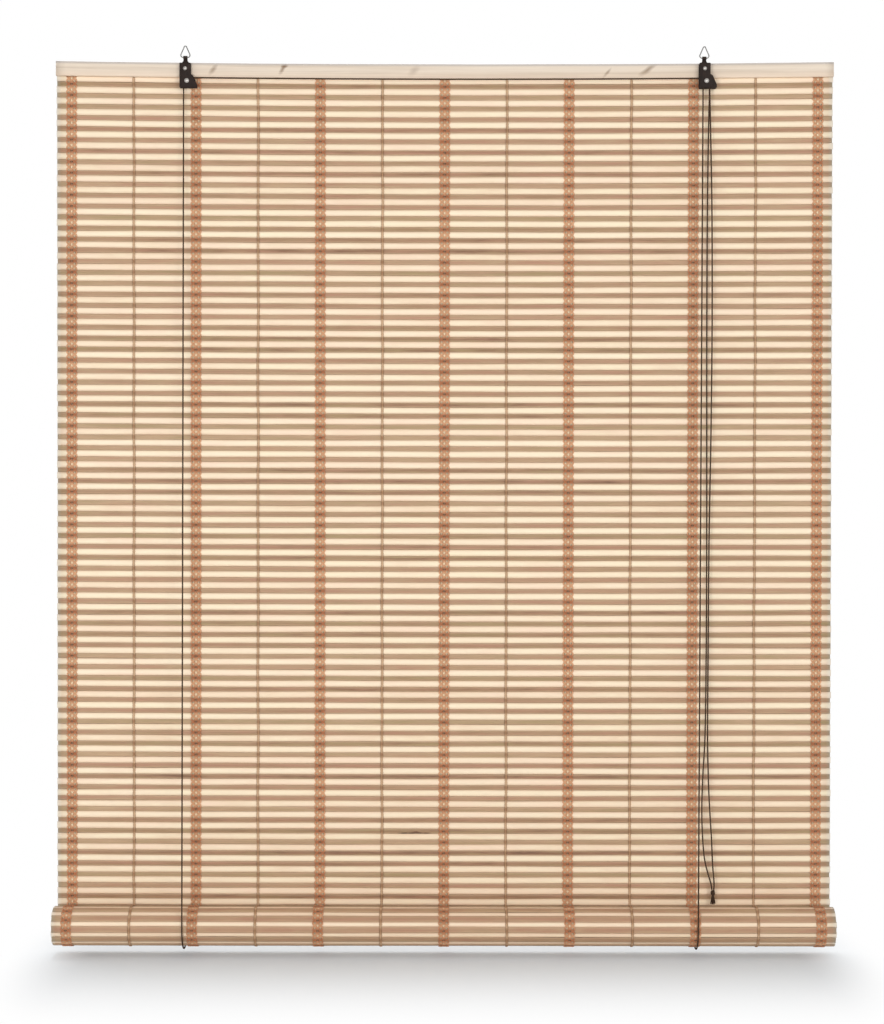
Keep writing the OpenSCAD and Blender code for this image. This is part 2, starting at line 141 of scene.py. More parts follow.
class Builder:
    """Collects swept shapes, with values for the materials, into one object."""

    def __init__(self, name):
        self.name, self.count = name, 0
        self.points, self.faces, self.slots, self.flat = [], [], [], []
        self.fields = {}

    def sweep(self, rings, slot=0, **fields):
        """A closed skin over rings of points, shaped (rings, points in a ring, 3)."""
        n, m, _ = rings.shape
        fields = {k: np.broadcast_to(np.asarray(v, float), (n, m) + np.shape(v)[2:])
                  for k, v in fields.items()}
        centres = rings.mean(axis=1)
        spoke = rings[:, :2] - centres[:, None]
        run = np.gradient(centres, axis=0)
        if np.sum(np.cross(spoke[:, 0], spoke[:, 1]) * run) < 0:
            rings = rings[:, ::-1]
            fields = {k: v[:, ::-1] for k, v in fields.items()}
        ids = self.count + np.arange(n * m).reshape(n, m)
        side = np.roll(ids, -1, axis=1)
        walls = np.stack([ids[:-1], side[:-1], side[1:], ids[1:]], axis=-1).reshape(-1, 4).tolist()
        ends = [ids[0][::-1].tolist(), ids[-1].tolist()]
        self.faces += walls + ends
        self.slots += [slot] * (len(walls) + len(ends))
        self.flat += [False] * len(walls) + [True] * len(ends)
        self.points.append(rings.reshape(-1, 3))
        for key, value in fields.items():
            self.fields.setdefault(key, []).append(value.reshape(n * m, *value.shape[2:]))
        self.count += n * m

    def make(self, materials, body, record_slot, replaced=()):
        mesh = bpy.data.meshes.new(self.name)
        mesh.from_pydata(np.concatenate(self.points), [], self.faces)
        for material in materials:
            mesh.materials.append(material)
        mesh.polygons.foreach_set("material_index", self.slots)
        mesh.polygons.foreach_set("use_smooth", [not f for f in self.flat])
        for key, parts in self.fields.items():
            data = np.concatenate(parts)
            vector = data.ndim == 2
            field = mesh.attributes.new(key, "FLOAT_VECTOR" if vector else "FLOAT", "POINT")
            field.data.foreach_set("vector" if vector else "value", data.ravel())
        mesh.update()
        obj = bpy.data.objects.new(self.name, mesh)
        bpy.context.scene.collection.objects.link(obj)
        if replaced:
            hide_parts(*replaced)
        if body:
            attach(obj, body)
        return obj


def unit(v):
    return v / np.linalg.norm(v, axis=-1, keepdims=True)


def smooth_route(points, spans):
    """The curve of part.scad through a route's points, with a number of spans between each two."""
    p = np.asarray(points, float)
    out = []
    for i in range(len(p) - 1):
        a, b, c, d = p[max(i - 1, 0)], p[i], p[i + 1], p[min(i + 2, len(p) - 1)]
        for t in np.arange(spans) / spans:
            out.append(0.5 * (2 * b + (c - a) * t + (2 * a - 5 * b + 4 * c - d) * t ** 2
                              + (3 * b - a - 3 * c + d) * t ** 3))
    return np.array(out + [p[-1]])


def even_route(path, step):
    """The same path with points a step apart, and the length run so far at each."""
    path = np.asarray(path, float)
    run = np.concatenate([[0], np.cumsum(np.linalg.norm(np.diff(path, axis=0), axis=1))])
    at = np.linspace(0, run[-1], max(2, int(round(run[-1] / step)) + 1))
    return np.stack([np.interp(at, run, path[:, k]) for k in range(3)], axis=1), at


def crosswise(path, lead):
    """Two directions across a path, the first one as near to lead as can be."""
    along = unit(np.gradient(path, axis=0))
    first = unit(lead - np.sum(lead * along, axis=1, keepdims=True) * along)
    return first, np.cross(along, first)


WAVE_OCTAVES, WAVE_FALL = 4, 1.6


def wander(at, seed, scale, size):
    """A smooth wave with no regular beat, of about the given size."""
    gen = np.random.default_rng(seed)
    total = np.zeros_like(at)
    for octave in range(WAVE_OCTAVES):
        wave = at / scale * 2 ** octave * (0.8 + 0.4 * gen.random())
        total += np.sin(wave + gen.random() * 6.3) / WAVE_FALL ** octave
    return total * size / 2


# Materials

# The shadow kept on the floor: its half width, how far it reaches beside and before that, and where on
# that way its fading starts
SHADE_HALF_W, SHADE_BESIDE, SHADE_BEFORE, SHADE_START = 0.632, 0.158, 0.535, -0.16


def srgb(r, g, b):
    """A colour written as on screen, 0 to 255."""
    def linear(v):
        v /= 255
        return v / 12.92 if v <= 0.04045 else ((v + 0.055) / 1.055) ** 2.4
    return linear(r), linear(g), linear(b), 1


class Surface:
    """A material whose nodes are added one by one."""

    def __init__(self, name, roughness=0.6, metallic=0.0, specular=0.4):
        self.material = bpy.data.materials.new(name)
        self.material.use_nodes = True
        self.tree = self.material.node_tree
        self.shader = self.tree.nodes["Principled BSDF"]
        self.shader.inputs["Roughness"].default_value = roughness
        self.shader.inputs["Metallic"].default_value = metallic
        self.shader.inputs["Specular IOR Level"].default_value = specular

    def put(self, socket, value):
        if isinstance(value, bpy.types.NodeSocket):
            self.tree.links.new(value, socket)
        else:
            socket.default_value = value

    def node(self, kind, inputs, **settings):
        made = self.tree.nodes.new("ShaderNode" + kind)
        for key, value in settings.items():
            setattr(made, key, value)
        for key, value in inputs.items():
            self.put(made.inputs[key], value)
        return made

    def field(self, name, output="Fac"):
        return self.node("Attribute", {}, attribute_name=name).outputs[output]

    def scaled(self, vector, scale, rotation=(0, 0, 0)):
        made = self.node("Mapping", {"Vector": vector, "Scale": scale, "Rotation": rotation})
        return made.outputs["Vector"]

    def noise(self, vector, scale=1.0, detail=3.0, rough=0.55, distort=0.0):
        return self.node("TexNoise", {"Vector": vector, "Scale": scale, "Detail": detail,
                                      "Roughness": rough, "Distortion": distort}).outputs["Fac"]

    def math(self, operation, a, b=0.0):
        return self.node("Math", {0: a, 1: b}, operation=operation).outputs[0]

    def span(self, value, low, high, out_low=0.0, out_high=1.0):
        return self.node("MapRange", {"Value": value, "From Min": low, "From Max": high,
                                      "To Min": out_low, "To Max": out_high}).outputs["Result"]

    def mix(self, factor, a, b, blend="MIX"):
        made = self.node("MixRGB", {"Fac": factor, "Color1": a, "Color2": b}, blend_type=blend)
        return made.outputs["Color"]

    def ramp(self, factor, stops):
        made = self.node("ValToRGB", {"Fac": factor})
        elements = made.color_ramp.elements
        while len(elements) < len(stops):
            elements.new(0.5)
        for element, (place, colour) in zip(elements, stops):
            element.position, element.color = place, colour
        return made.outputs["Color"]

    def shade(self, colour, factor, low, high):
        """The colour made darker or lighter by a factor that runs from 0 to 1."""
        level = self.span(factor, 0.25, 0.75, low, high)
        grey = self.node("CombineColor", {0: level, 1: level, 2: level}).outputs[0]
        return self.mix(1.0, colour, grey, "MULTIPLY")

    def colour(self, value):
        self.put(self.shader.inputs["Base Color"], value)

    def rough(self, value):
        self.put(self.shader.inputs["Roughness"], value)

    def bump(self, height, distance, strength=1.0):
        self.put(self.shader.inputs["Normal"], self.node(
            "Bump", {"Height": height, "Distance": distance, "Strength": strength}).outputs["Normal"])


def bamboo(name, stops, cool, warm, streak, edge, tip):
    """Split bamboo. The grain field holds (place along, place across, number of the slat)."""
    s = Surface(name, roughness=0.55)
    grain = s.field("grain", "Vector")
    along, across, _ = s.node("SeparateXYZ", {0: grain}).outputs
    drift = s.noise(s.scaled(grain, (9, 0.25, 17)), detail=4)
    tone = s.math("ADD", s.field("tone"), s.span(drift, 0.3, 0.7, -0.2, 0.2))
    colour = s.ramp(tone, stops)
    patch = s.noise(s.scaled(grain, (8, 0.3, 31)), detail=4, rough=0.6)
    hue = s.math("ADD", s.field("warm"), s.span(patch, 0.3, 0.7, -1.1, 1.1))
    colour = s.mix(s.span(hue, 0.05, 1.2, 0.0, 0.75), colour, warm)
    colour = s.mix(s.span(hue, -0.05, -1.2, 0.0, 0.75), colour, cool)
    fibres = s.noise(s.scaled(grain, (11, 3.2, 17)), detail=6, rough=0.65)
    colour = s.shade(colour, fibres, 1 - streak, 1 + streak * 0.6)
    # Painted shade and light across each slat: towards its long edges a pale slat is darkened and a dark
    # slat lightened, standing in for the shading of rounded slats
    edge_shade = s.math("ADD", s.math("ABSOLUTE", across), s.span(fibres, 0.3, 0.7, -0.12, 0.12))
    colour = s.mix(s.span(edge_shade, 0.3, 1.05, 0.0, 0.75), colour, edge)
    sawn = s.span(s.math("ABSOLUTE", along), HALF_W - 9 * MM, HALF_W - 2 * MM, 0.0, 0.6)
    colour = s.mix(sawn, colour, tip)
    s.colour(colour)
    s.rough(s.span(fibres, 0.3, 0.7, 0.48, 0.64))
    s.bump(s.noise(s.scaled(grain, (30, 9, 17)), detail=5, rough=0.7), 0.25 * MM, 0.6)
    return s.material


def pine(knots):
    """Planed pine. Each knot is (x, z, half length, half width, slope in degrees, depth of colour)."""
    s = Surface("pine", roughness=0.6)
    grain = s.field("grain", "Vector")
    rings = s.noise(s.scaled(grain, (2.2, 60, 130)), detail=4, rough=0.6, distort=0.6)
    colour = s.ramp(rings, [(0.28, srgb(211, 191, 169)), (0.5, srgb(228, 210, 190)),
                            (0.72, srgb(236, 220, 201))])
    fibres = s.noise(s.scaled(grain, (22, 900, 900)), detail=5, rough=0.65)
    colour = s.shade(colour, fibres, 0.95, 1.02)
    for x, z, length, width, slope, depth in knots:
        place = s.node("VectorMath", {0: grain, 1: (x, 0, z)}, operation="SUBTRACT").outputs["Vector"]
        turned = s.scaled(place, (1, 1, 1), rotation=(0, math.radians(slope), 0))
        shaped = s.scaled(turned, (1 / length, 0, 1 / width))
        spot = s.node("VectorMath", {0: shaped}, operation="LENGTH").outputs["Value"]
        spot = s.math("ADD", spot, s.span(rings, 0.3, 0.7, -0.25, 0.25))
        colour = s.mix(s.span(spot, 1.15, 0.2, 0.0, depth), colour, srgb(128, 98, 70))
    height = s.node("SeparateXYZ", {0: grain}).outputs[2]
    colour = s.mix(s.span(height, 0.0, -BATTEN_H / 2, 0.0, 0.6), colour, srgb(231, 204, 177))
    # Painted shade: the batten is greyer along its top edge, for the rounded top arris turned from the
    # light
    top_edge_shade = s.span(height, BATTEN_H / 2 - 5.0 * MM, BATTEN_H / 2 - 1.5 * MM, 0.0, 0.85)
    colour = s.mix(top_edge_shade, colour, srgb(188, 179, 172))
    s.colour(colour)
    s.bump(fibres, 0.15 * MM, 0.5)
    return s.material


def cotton(name, on_pale, on_dark, deep_on_pale, gap_shade_on_dark):
    """Twisted thread, darker and more orange over dark slats as painted shade and bounced light."""
    s = Surface(name, roughness=0.85, specular=0.15)
    grain = s.field("grain", "Vector")
    under = s.field("over_dark")
    # Painted shade and bounced light: the colour goes darker and more orange where the thread crosses a
    # dark slat
    shallow, sunk = s.mix(under, on_pale, on_dark), s.mix(under, deep_on_pale, gap_shade_on_dark)
    # Filler threads take the deep colours; over dark slats that colour is painted shade in the braid's gaps
    colour = s.mix(s.field("deep"), shallow, sunk)
    fuzz = s.noise(s.scaled(grain, (1, 1, 1)), scale=420.0, detail=4, rough=0.7)
    colour = s.shade(colour, fuzz, 0.86, 1.08)
    patch = s.noise(s.scaled(grain, (1, 1, 1)), scale=14.0, detail=2)
    s.colour(s.shade(colour, patch, 0.93, 1.05))
    s.bump(fuzz, 0.3 * MM, 0.8)
    return s.material


def twisted_cord():
    s = Surface("cord", roughness=0.8, specular=0.2)
    place = s.node("TexCoord", {}).outputs["Object"]
    fuzz = s.noise(place, scale=900.0, detail=5, rough=0.7)
    s.colour(s.ramp(fuzz, [(0.3, srgb(48, 34, 24)), (0.55, srgb(72, 53, 39)), (0.8, srgb(104, 82, 63))]))
    s.bump(fuzz, 0.2 * MM, 0.7)
    return s.material


def black_steel():
    """Blackened steel, rubbed paler along its edges."""
    s = Surface("black_steel", roughness=0.6, specular=0.12)
    place = s.node("TexCoord", {}).outputs["Object"]
    cloud = s.noise(place, scale=120.0, detail=6, rough=0.65)
    colour = s.ramp(cloud, [(0.3, srgb(30, 22, 19)), (0.6, srgb(44, 34, 30)), (0.8, srgb(62, 49, 42))])
    edge = s.node("NewGeometry", {}).outputs["Pointiness"]
    colour = s.mix(s.span(edge, 0.52, 0.62, 0.0, 0.6), colour, srgb(90, 78, 70))
    s.colour(colour)
    s.rough(s.span(cloud, 0.3, 0.7, 0.5, 0.72))
    s.bump(s.noise(place, scale=900.0, detail=4), 0.08 * MM, 0.5)
    return s.material


def bright_steel(name, low, high):
    s = Surface(name, roughness=0.3, metallic=1.0)
    place = s.node("TexCoord", {}).outputs["Object"]
    cloud = s.noise(place, scale=500.0, detail=5, rough=0.65)
    s.colour(s.ramp(cloud, [(0.3, low), (0.7, high)]))
    s.rough(s.span(cloud, 0.3, 0.7, 0.26, 0.46))
    s.bump(s.noise(s.scaled(place, (300, 300, 2600)), detail=3), 0.05 * MM, 0.4)
    return s.material


def stage_white():
    """Pale floor that keeps the blind's shadow near its foot, and fades to white away from it."""
    s = Surface("stage_white", roughness=0.9, specular=0.1)
    place = s.node("TexCoord", {}).outputs["Object"]
    s.colour(s.shade(srgb(228, 235, 241), s.noise(place, scale=3.0, detail=3), 0.985, 1.0))
    rays = s.node("LightPath", {})
    seen = s.math("MAXIMUM", rays.outputs["Is Camera Ray"], rays.outputs["Is Glossy Ray"])
    seen = s.math("MAXIMUM", seen, rays.outputs["Is Transmission Ray"])
    x, y, _ = s.node("SeparateXYZ", {0: place}).outputs
    beside = s.math("MAXIMUM", s.math("SUBTRACT", s.math("ABSOLUTE", x), SHADE_HALF_W), 0.0)
    before = s.math("SUBTRACT", y, ROLL_Y)
    offset = s.node("CombineXYZ", {0: s.math("DIVIDE", beside, SHADE_BESIDE),
                                   1: s.math("DIVIDE", before, SHADE_BEFORE)}).outputs[0]
    away = s.node("VectorMath", {0: offset}, operation="LENGTH").outputs["Value"]
    fade = s.node("MapRange", {"Value": away, "From Min": SHADE_START, "From Max": 1.0},
                  interpolation_type="SMOOTHSTEP")
    white = s.node("Emission", {"Color": (1, 1, 1, 1), "Strength": 1.0})
    share = s.math("MULTIPLY", seen, fade.outputs["Result"])
    whole = s.node("MixShader", {0: share, 1: s.shader.outputs[0], 2: white.outputs[0]})
    s.tree.links.new(whole.outputs[0], s.tree.nodes["Material Output"].inputs["Surface"])
    return s.material


PALE = bamboo("bamboo_pale",
              [(0.0, srgb(251, 232, 203)), (0.5, srgb(249, 226, 196)), (1.0, srgb(234, 203, 170))],
              srgb(251, 234, 200), srgb(249, 218, 192), 0.05, srgb(216, 183, 149), srgb(250, 241, 226))
DARK = bamboo("bamboo_dark",
              [(0.0, srgb(190, 158, 124)), (0.35, srgb(176, 142, 110)), (0.6, srgb(160, 124, 92)),
               (0.82, srgb(128, 92, 66)), (1.0, srgb(80, 56, 42))],
              srgb(164, 142, 100), srgb(180, 132, 106), 0.14, srgb(196, 164, 132), srgb(172, 164, 142))
THREAD = cotton("warp_thread", srgb(233, 178, 137), srgb(186, 117, 81),
                srgb(255, 226, 186), srgb(110, 62, 37))
TWINE = cotton("warp_twine", srgb(212, 177, 143), srgb(166, 124, 90),
               srgb(150, 112, 74), srgb(126, 86, 54))
CORD = twisted_cord()
BLACK = black_steel()
BRIGHT = bright_steel("bright_steel", srgb(150, 145, 140), srgb(186, 182, 177))
WIRE = bright_steel("ring_wire", srgb(92, 91, 88), srgb(142, 141, 138))
PINE = pine([
    (-0.4174, 0.0007, 0.0130, 0.0048, 54, 0.60), (-0.2920, 0.0030, 0.0130, 0.0042, 60, 0.75),
    (-0.2885, 0.0090, 0.0060, 0.0042, 10, 0.85), (-0.0560, 0.0000, 0.0130, 0.0070, 40, 0.30),
    (0.2920, -0.0030, 0.0130, 0.0028, 50, 0.65), (0.3660, 0.0030, 0.0200, 0.0052, 35, 0.70),
])

# Camera at the photograph's viewing angle
VIEW_DISTANCE = 3.854
VIEW_X, VIEW_Z = -4.1 * MM, -792.8 * MM
VIEW_DOWN, VIEW_LEAN = math.radians(0.7), math.radians(-0.08)
camera = bpy.data.objects.new("camera", bpy.data.cameras.new("camera"))
bpy.context.scene.collection.objects.link(camera)
camera.data.sensor_width = 36
camera.data.lens = 75
camera.location = (VIEW_X, MAT_FRONT - VIEW_DISTANCE, VIEW_Z + VIEW_DISTANCE * math.tan(VIEW_DOWN))
camera.rotation_euler = (math.radians(90) - VIEW_DOWN, VIEW_LEAN, 0)
bpy.context.scene.camera = camera
bpy.context.scene.view_settings.view_transform = "Standard"

# Cords

SIDEWAYS, FORWARD, UPWARD = np.eye(3)
ROPE_SIDES = 9


def rope(builder, path, lead=SIDEWAYS, step=1.3 * MM, lay=13 * MM, radius=CORD_D / 2):
    """A cord of three strands laid round each other. The path never runs in the direction lead."""
    path, at = even_route(path, step)
    first, second = crosswise(path, lead)
    around = np.linspace(0, 2 * math.pi, ROPE_SIDES, endpoint=False)
    turn = around[None] + 2 * math.pi * at[:, None] / lay
    size = radius * (0.92 + 0.08 * np.cos(3 * around))[None, :, None]
    builder.sweep(path[:, None] + size * (np.cos(turn)[..., None] * first[:, None]
                                          + np.sin(turn)[..., None] * second[:, None]))


def cord_piece(name, path, body, node, lead=SIDEWAYS):
    builder = Builder(name)
    rope(builder, path, lead)
    return builder.make([CORD], body, "cord", [node])


def arc(x, y, r, start, stop, count):
    """Points round an axle, at angles in degrees from +X."""
    turn = np.radians(np.linspace(start, stop, count))
    return np.stack([x + r * np.cos(turn), np.full(count, y), AXLE_Z + r * np.sin(turn)], axis=1)


# Of a front run, this much stays at the bracket and this much goes up with the roll; the rest shortens.
FRONT_FIXED, FRONT_CARRIED = 12 * MM, 45 * MM
FRONT_TOP, BACK_TOP, CORD_LOW = AXLE_Z - TOUCH, -3.3 * MM, ROLL_Z + TOUCH
LOOP_POINTS = 49
for side, loop_x, axle_x, sheave_y in (("left", LEFT_LOOP_X, LEFT_AXLE_X, REAR_SHEAVE_Y),
                                       ("right", RIGHT_LOOP_X, RIGHT_AXLE_X, FRONT_SHEAVE_Y)):
    start = np.array([axle_x - CORD_TURN_R, sheave_y, FRONT_TOP])
    end = np.array([loop_x, ROLL_Y - LOOP_R, CORD_LOW])
    fixed = start + FRONT_FIXED / (FRONT_TOP - CORD_LOW) * (end - start)
    carried = start + (1 - FRONT_CARRIED / (FRONT_TOP - CORD_LOW)) * (end - start)
    cord_piece(f"{side}_lift_cord_exit", [start, fixed], "head", f"{side}_cord_front")
    front = cord_piece(f"{side}_lift_cord_front", [fixed, carried], "head", f"{side}_cord_front")
    shorten(front)
    cord_piece(f"{side}_lift_cord_low", [carried, end], "cord_cradle", f"{side}_cord_front")
    back_y = ROLL_Y + LOOP_R
    back = cord_piece(f"{side}_lift_cord_back", [(loop_x, back_y, BACK_TOP), (loop_x, back_y, CORD_LOW)],
                      "head", f"{side}_cord_back")
    shorten(back)
    turn = np.radians(np.linspace(0, -180, LOOP_POINTS))
    loop = np.stack([np.full(LOOP_POINTS, loop_x), ROLL_Y + LOOP_R * np.cos(turn),
                     ROLL_Z + LOOP_R * np.sin(turn)], axis=1)
    cord_piece(f"{side}_lift_cord_loop", loop, "cord_cradle", f"{side}_cord_loop")

share = np.linspace(0, 1, 41)
sagging = np.stack([LEFT_AXLE_X + share * (RIGHT_AXLE_X - LEFT_AXLE_X), np.full(share.shape, REAR_SHEAVE_Y),
                    AXLE_Z + CORD_TURN_R - 4 * CROSS_SAG * share * (1 - share)], axis=1)
cord_piece("crossing_cord", np.concatenate([
    arc(LEFT_AXLE_X, REAR_SHEAVE_Y, CORD_TURN_R, 180, 95, 14), sagging,
    arc(RIGHT_AXLE_X, REAR_SHEAVE_Y, CORD_TURN_R, 85, 0, 14)]), "head", "cross_cord", FORWARD)
cord_piece("right_turning_cord", arc(RIGHT_AXLE_X, FRONT_SHEAVE_Y, CORD_TURN_R, 180, 0, 31),
           "head", "right_cord_turn", FORWARD)

KNOT_TURNS, KNOT_R, KNOT_H, KNOT_STEP = 3, 3.1 * MM, 7.0 * MM, 0.7 * MM
KNOT_CORD_R, SLING_CORD_R = 1.35 * MM, 1.2 * MM
SLING_ASIDE, SLING_R, SLING_HALF_H = 1.5 * MM, 4.0 * MM, 4.6 * MM
CORE_R, CORE_HALF_H = 2.6 * MM, 4.2 * MM
TAIL_STRANDS, TAIL_TOP, TAIL_R = 42, -3.6 * MM, 0.5 * MM
TAIL_TURN = 2.4


def about_knot(x, y, z):
    """Points given from the middle of the knot."""
    return np.stack(np.broadcast_arrays(KNOT_AT.x + x, KNOT_AT.y + y, KNOT_AT.z + z), axis=-1)


def pull_knot():
    """An overhand knot of both cords, with their ends frayed out below it."""
    builder = Builder("pull_knot_frayed")
    turns = np.linspace(0, KNOT_TURNS * 2 * math.pi, 90)
    rise = np.linspace(KNOT_H / 2, -KNOT_H / 2, 90)
    bulge = np.sqrt(np.clip(1 - (rise / (KNOT_H * 0.72)) ** 2, 0, 1))
    rope(builder, about_knot(KNOT_R * bulge * np.cos(turns), KNOT_R * bulge * np.sin(turns), rise),
         UPWARD, step=KNOT_STEP, radius=KNOT_CORD_R)
    # A strand slung down over the turns, and the core that they are pulled tight on
    sling = np.radians(np.linspace(60, -95, 24))
    rope(builder, about_knot(SLING_ASIDE * np.sin(2 * sling), -SLING_R * np.cos(sling),
                             SLING_HALF_H * np.sin(sling)), step=KNOT_STEP, radius=SLING_CORD_R)
    core = np.linspace(-1, 1, 9)[:, None]
    around = np.linspace(0, 2 * math.pi, 16, endpoint=False)
    size = CORE_R * np.sqrt(1 - 0.8 * core ** 2)
    builder.sweep(about_knot(size * np.cos(around), size * np.sin(around), CORE_HALF_H * core))
    drop = np.linspace(0, 1, 9)
    ring = np.radians([0, 90, 180, 270])
    thin = (TAIL_R * (1 - 0.5 * drop))[:, None, None]
    for k in range(TAIL_STRANDS):
        out = math.sqrt((k + 0.5) / TAIL_STRANDS)
        length = (15.0 + 3.0 * rng.random()) * MM
        flare = (1.6 + 3.3 * drop) * out * MM
        swing = TAIL_TURN * k + 0.5 * drop * rng.normal()
        path = about_knot(flare * np.cos(swing), flare * np.sin(swing), TAIL_TOP - length * drop)
        first, second = crosswise(path, SIDEWAYS)
        builder.sweep(path[:, None] + thin * (np.cos(ring)[:, None] * first[:, None]
                                              + np.sin(ring)[:, None] * second[:, None]))
    return builder.make([CORD], "pull_cord", "cord", ["pull_knot"])


knot = pull_knot()
for side, route, extra in (("left", PULL_LEFT_ROUTE, []), ("right", PULL_RIGHT_ROUTE, [knot])):
    path = smooth_route(np.array(route) * MM + (PULL_X, 0, 0), 12)
    strand = cord_piece(f"pull_strand_{side}", path, None, f"pull_cord_{side}")
    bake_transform(strand)

# Slats

ROW_BOW, TOP_BOW, TOP_BOW_FADE = 1.2 * MM, 4.0 * MM, 0.22


def is_dark(i):
    return i % 2 == 0


def row_bow(z):
    """How much higher a row's ends are than its middle, at height z."""
    return ROW_BOW + TOP_BOW * np.exp(z / TOP_BOW_FADE)


# Slats whose tone and warmth are set, by number
ODD_SLATS = {126: (0.52, 0.9), 128: (0.72, 0.2), 142: (0.74, 0.1)}
SPLIT_SLAT = 138
SLAT_GAP = 0.12 * MM
SLAT_CROWN = 0.35 * MM
ROW_WANDER, WIDTH_WANDER, FACE_WANDER = 0.45 * MM, 0.5 * MM, 0.16 * MM
LONG_STEPS, SHORT_STEPS = 40, 8
# A slat's outline: places across it, which of them are on the inner face, and how far each is rounded off
ACROSS = np.array([-1, -0.8, 0, 0.8, 1, 0.985, -0.985])
INNER = np.array([0, 0, 0, 0, 0, 1, 1])
ROUNDED = np.array([1, 0.3, 0, 0.3, 1, 0, 0])


def slat(builder, number, centre, outward, upward, wide_out, steps, bow=0.0, dull=0.0, tint=0.0):
    """One strip of bamboo. centre is the middle of the mat's outer face, as (y, z); outward and upward are
    directions there. Where wide_out is true the slat's wide face is on the outside."""
    gen = np.random.default_rng(1000 + number)
    dark = is_dark(number)
    wide, narrow = PALE_W / 2 - SLAT_GAP, DARK_W / 2 - SLAT_GAP
    half_out, half_in = (wide, narrow) if wide_out else (narrow, wide)
    deep_out, deep_in = (0, SLAT_T - SLAT_RELIEF) if wide_out else (SLAT_RELIEF, SLAT_T)
    reach = HALF_W - (0.2 + 0.9 * gen.random(2) + (0.8 if dark else 0)) * MM
    x = np.linspace(-reach[0], reach[1], steps + 1)
    lift = bow * (x / HALF_W) ** 2 + wander(x, number, 0.16, ROW_WANDER)
    thick = wander(x, number + 500, 0.10, WIDTH_WANDER)
    proud = wander(x, number + 900, 0.20, FACE_WANDER)
    half = np.where(INNER, half_in, half_out)[None] + thick[:, None] * 0.5
    up = ACROSS * half + lift[:, None]
    deep = np.where(INNER, deep_in, deep_out + SLAT_CROWN * ROUNDED)[None] + proud[:, None] * (1 - INNER)
    along = np.broadcast_to(x[:, None], up.shape)
    rings = np.stack([along, centre[0] + up * upward[0] - deep * outward[0],
                      centre[1] + up * upward[1] - deep * outward[1]], axis=-1)
    tone, warm = ODD_SLATS.get(number, (0.15 + 0.55 * gen.random(), gen.uniform(-0.7, 0.7)))
    paler = (0.18 if dark else 0.0) * np.clip(np.abs(along) / HALF_W, 0, 1) ** 3
    grain = np.stack([along, np.broadcast_to(ACROSS, up.shape), np.full(up.shape, float(number))], axis=-1)
    builder.sweep(rings, slot=int(dark), grain=grain, tone=tone + dull - paler,
                  warm=np.full(up.shape, warm + tint))


def flat_slat(builder, number):
    z = MAT_TOP - (number + 0.5) * SLAT_STEP
    slat(builder, number, (MAT_FRONT, z), (-1, 0), (0, 1), not is_dark(number), LONG_STEPS, row_bow(z))


SPLINTER_FROM, SPLINTER_TO, SPLINTER_LUMP = -85 * MM, -20 * MM, -50 * MM
SPLINTER_TONE = 0.92


def splinter(builder, number):
    """A dark split along the lower edge of a slat, with a torn lump in it."""
    x = np.linspace(SPLINTER_FROM, SPLINTER_TO, 43)
    z = MAT_TOP - (number + 0.5) * SLAT_STEP - DARK_W / 2 + 0.7 * MM
    lump = np.exp(-((x - SPLINTER_LUMP) / (5 * MM)) ** 2)
    taper = np.clip(np.minimum(x - x[0], x[-1] - x) / (12 * MM), 0.05, 1)
    half = (taper * (1 + 0.4 * wander(x, 77, 0.004, 1.0)) + 0.9 * lump)[:, None] * MM
    around = np.radians([0, 60, 120, 180, 240, 300])
    rings = np.stack(np.broadcast_arrays(
        x[:, None], MAT_FRONT + SLAT_RELIEF + 0.1 * MM - 0.5 * half * np.cos(around),
        z + (1.3 * MM * lump)[:, None] + half * np.sin(around)), axis=-1)
    shape = rings.shape[:2]
    grain = np.stack([rings[..., 0], np.zeros(shape), np.full(shape, float(number))], axis=-1)
    builder.sweep(rings, slot=1, grain=grain, tone=np.full(shape, SPLINTER_TONE), warm=np.zeros(shape))


top_mat, low_mat = Builder("mat_top_slats"), Builder("mat_lower_slats")
for number in range(FLAT_SLATS):
    flat_slat(top_mat if number < TOP_SLATS else low_mat, number)
splinter(low_mat, SPLIT_SLAT)
top_mat.make([PALE, DARK], "head", "bamboo", ["slat_mat"])
lower = low_mat.make([PALE, DARK], "head", "bamboo", ["slat_mat"])
shorten(lower)

# The rolled part: slats a step apart on the outside, with the last one on the rod
SEAT_R = (ROD_R + TOUCH) / math.cos(SLAT_STEP / 2 / (ROD_R + SLAT_T))
COIL_PITCH = math.pi * (ROLL_R ** 2 - (SEAT_R + SLAT_T) ** 2) / (COIL_SLATS * SLAT_STEP)
OUTER_SLATS = 26
ROLL_SEAT = 0.2 * MM
ROLL_DULL_DARK, ROLL_DULL_PALE, ROLL_TINT = -0.3, 0.0, 0.7


def coil_slat_r(i):
    return math.sqrt(ROLL_R ** 2 - COIL_PITCH * i * SLAT_STEP / math.pi)


def coil_angle(i):
    """Angle of the seam before slat i, from the roll's back down and round to its front."""
    return 2 * math.pi * (ROLL_R - coil_slat_r(i)) / COIL_PITCH


def coil_r(angle):
    return ROLL_R - COIL_PITCH * angle / (2 * math.pi)


rolled = Builder("rolled_slats")
for i in range(COIL_SLATS):
    number = FLAT_SLATS + i
    angle = (coil_angle(i) + coil_angle(i + 1)) / 2
    outward = (math.cos(angle), -math.sin(angle))
    upward = (-math.sin(angle), -math.cos(angle))
    r = coil_r(angle) - ROLL_SEAT
    slat(rolled, number, (ROLL_Y + r * outward[0], ROLL_Z + r * outward[1]), outward, upward,
         is_dark(number), LONG_STEPS if i < OUTER_SLATS else SHORT_STEPS,
         dull=ROLL_DULL_DARK if is_dark(number) else ROLL_DULL_PALE, tint=ROLL_TINT)
rolled.make([PALE, DARK], "roll", "bamboo", ["rolled_mat"])

# Warp

